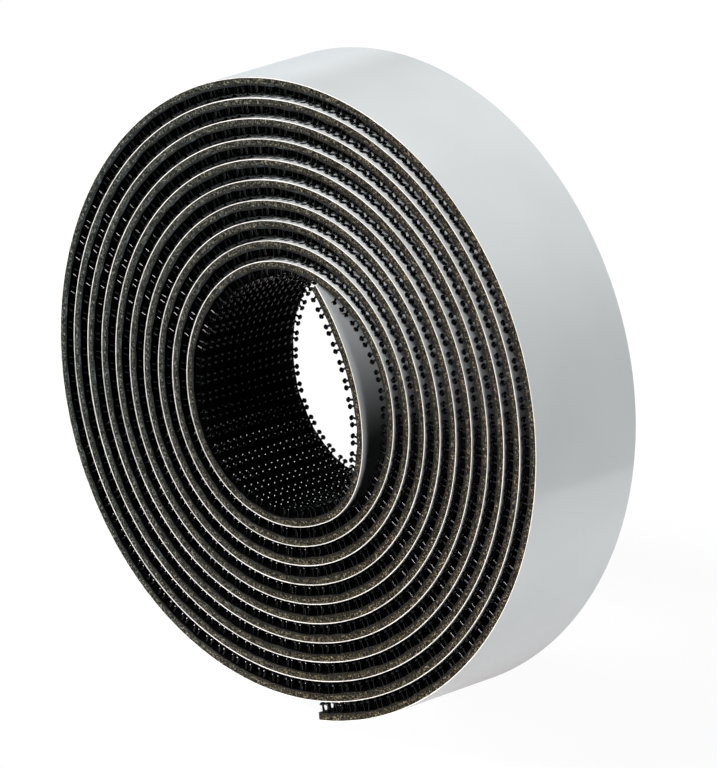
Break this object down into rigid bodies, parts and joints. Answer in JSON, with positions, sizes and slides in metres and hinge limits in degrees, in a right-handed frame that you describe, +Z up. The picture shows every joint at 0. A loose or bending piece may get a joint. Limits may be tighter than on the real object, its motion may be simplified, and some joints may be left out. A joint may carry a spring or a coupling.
{
  "type": "reclosable fastener tape roll",
  "caption": "Standing coreless roll of stemmed reclosable tape: wound stem strip, foam adhesive and release liner, with a loose tail, a peelable liner tab and a loose inner end.",
  "frame": {"origin": "on the flat that the roll stands on, straight below the axis of the winding and halfway across the tape's width", "axes": "+Y along the roll's axis from its front face to its back face, +Z up, +X to the right as the front face is seen, towards the loose tail"},
  "size_m": [0.1093, 0.0254, 0.1077],
  "materials": {
    "stem_strip_plastic": "moulded black polypropylene, semi-gloss",
    "foam_adhesive": "cut edge of dark grey-brown acrylic foam, matt and grainy",
    "release_liner_film": "pale grey siliconed release film, soft gloss"
  },
  "bodies": {
    "winding": {"winding_stem_strip": "stem_strip_plastic", "inner_turn_stem_strip": "stem_strip_plastic", "winding_foam_adhesive": "foam_adhesive", "outer_turn_release_liner": "release_liner_film", "winding_release_liner": "release_liner_film"},
    "tail_upper": {"tail_upper_stem_strip": "stem_strip_plastic", "tail_upper_foam_adhesive": "foam_adhesive", "tail_upper_release_liner": "release_liner_film"},
    "tail_end": {"tail_end_stem_strip": "stem_strip_plastic", "tail_end_foam_adhesive": "foam_adhesive", "tail_end_release_liner": "release_liner_film"},
    "liner_tab": {"liner_pull_tab": "release_liner_film"},
    "inner_end": {"inner_end_stem_strip": "stem_strip_plastic", "inner_end_foam_adhesive": "foam_adhesive", "inner_end_release_liner": "release_liner_film"}
  },
  "joints": [
    {"name": "tail_unbend_upper", "type": "hinge", "parent": "winding", "child": "tail_upper", "pos_m": [0.045, 0, 0.08497], "axis": [0, -1, 0], "range_deg": [0, 40], "stiffness_Nm_per_rad": 0.05, "springref_deg": -17.19},
    {"name": "tail_unbend_end", "type": "hinge", "parent": "tail_upper", "child": "tail_end", "pos_m": [0.05281, 0, 0.03522], "axis": [0, -1, 0], "range_deg": [0, 20]},
    {"name": "liner_peel", "type": "hinge", "parent": "tail_end", "child": "liner_tab", "pos_m": [0.04487, 0, 0.01967], "axis": [0, -1, 0], "range_deg": [0, 140]},
    {"name": "inner_end_bend", "type": "hinge", "parent": "winding", "child": "inner_end", "pos_m": [0.01185, 0, 0.03624], "axis": [0, -1, 0], "range_deg": [0, 20], "stiffness_Nm_per_rad": 0.02, "springref_deg": -11.46}
  ],
  "couplings": [
    {"joint": "tail_unbend_end", "follows": "tail_unbend_upper", "ratio": 0.5}
  ]
}
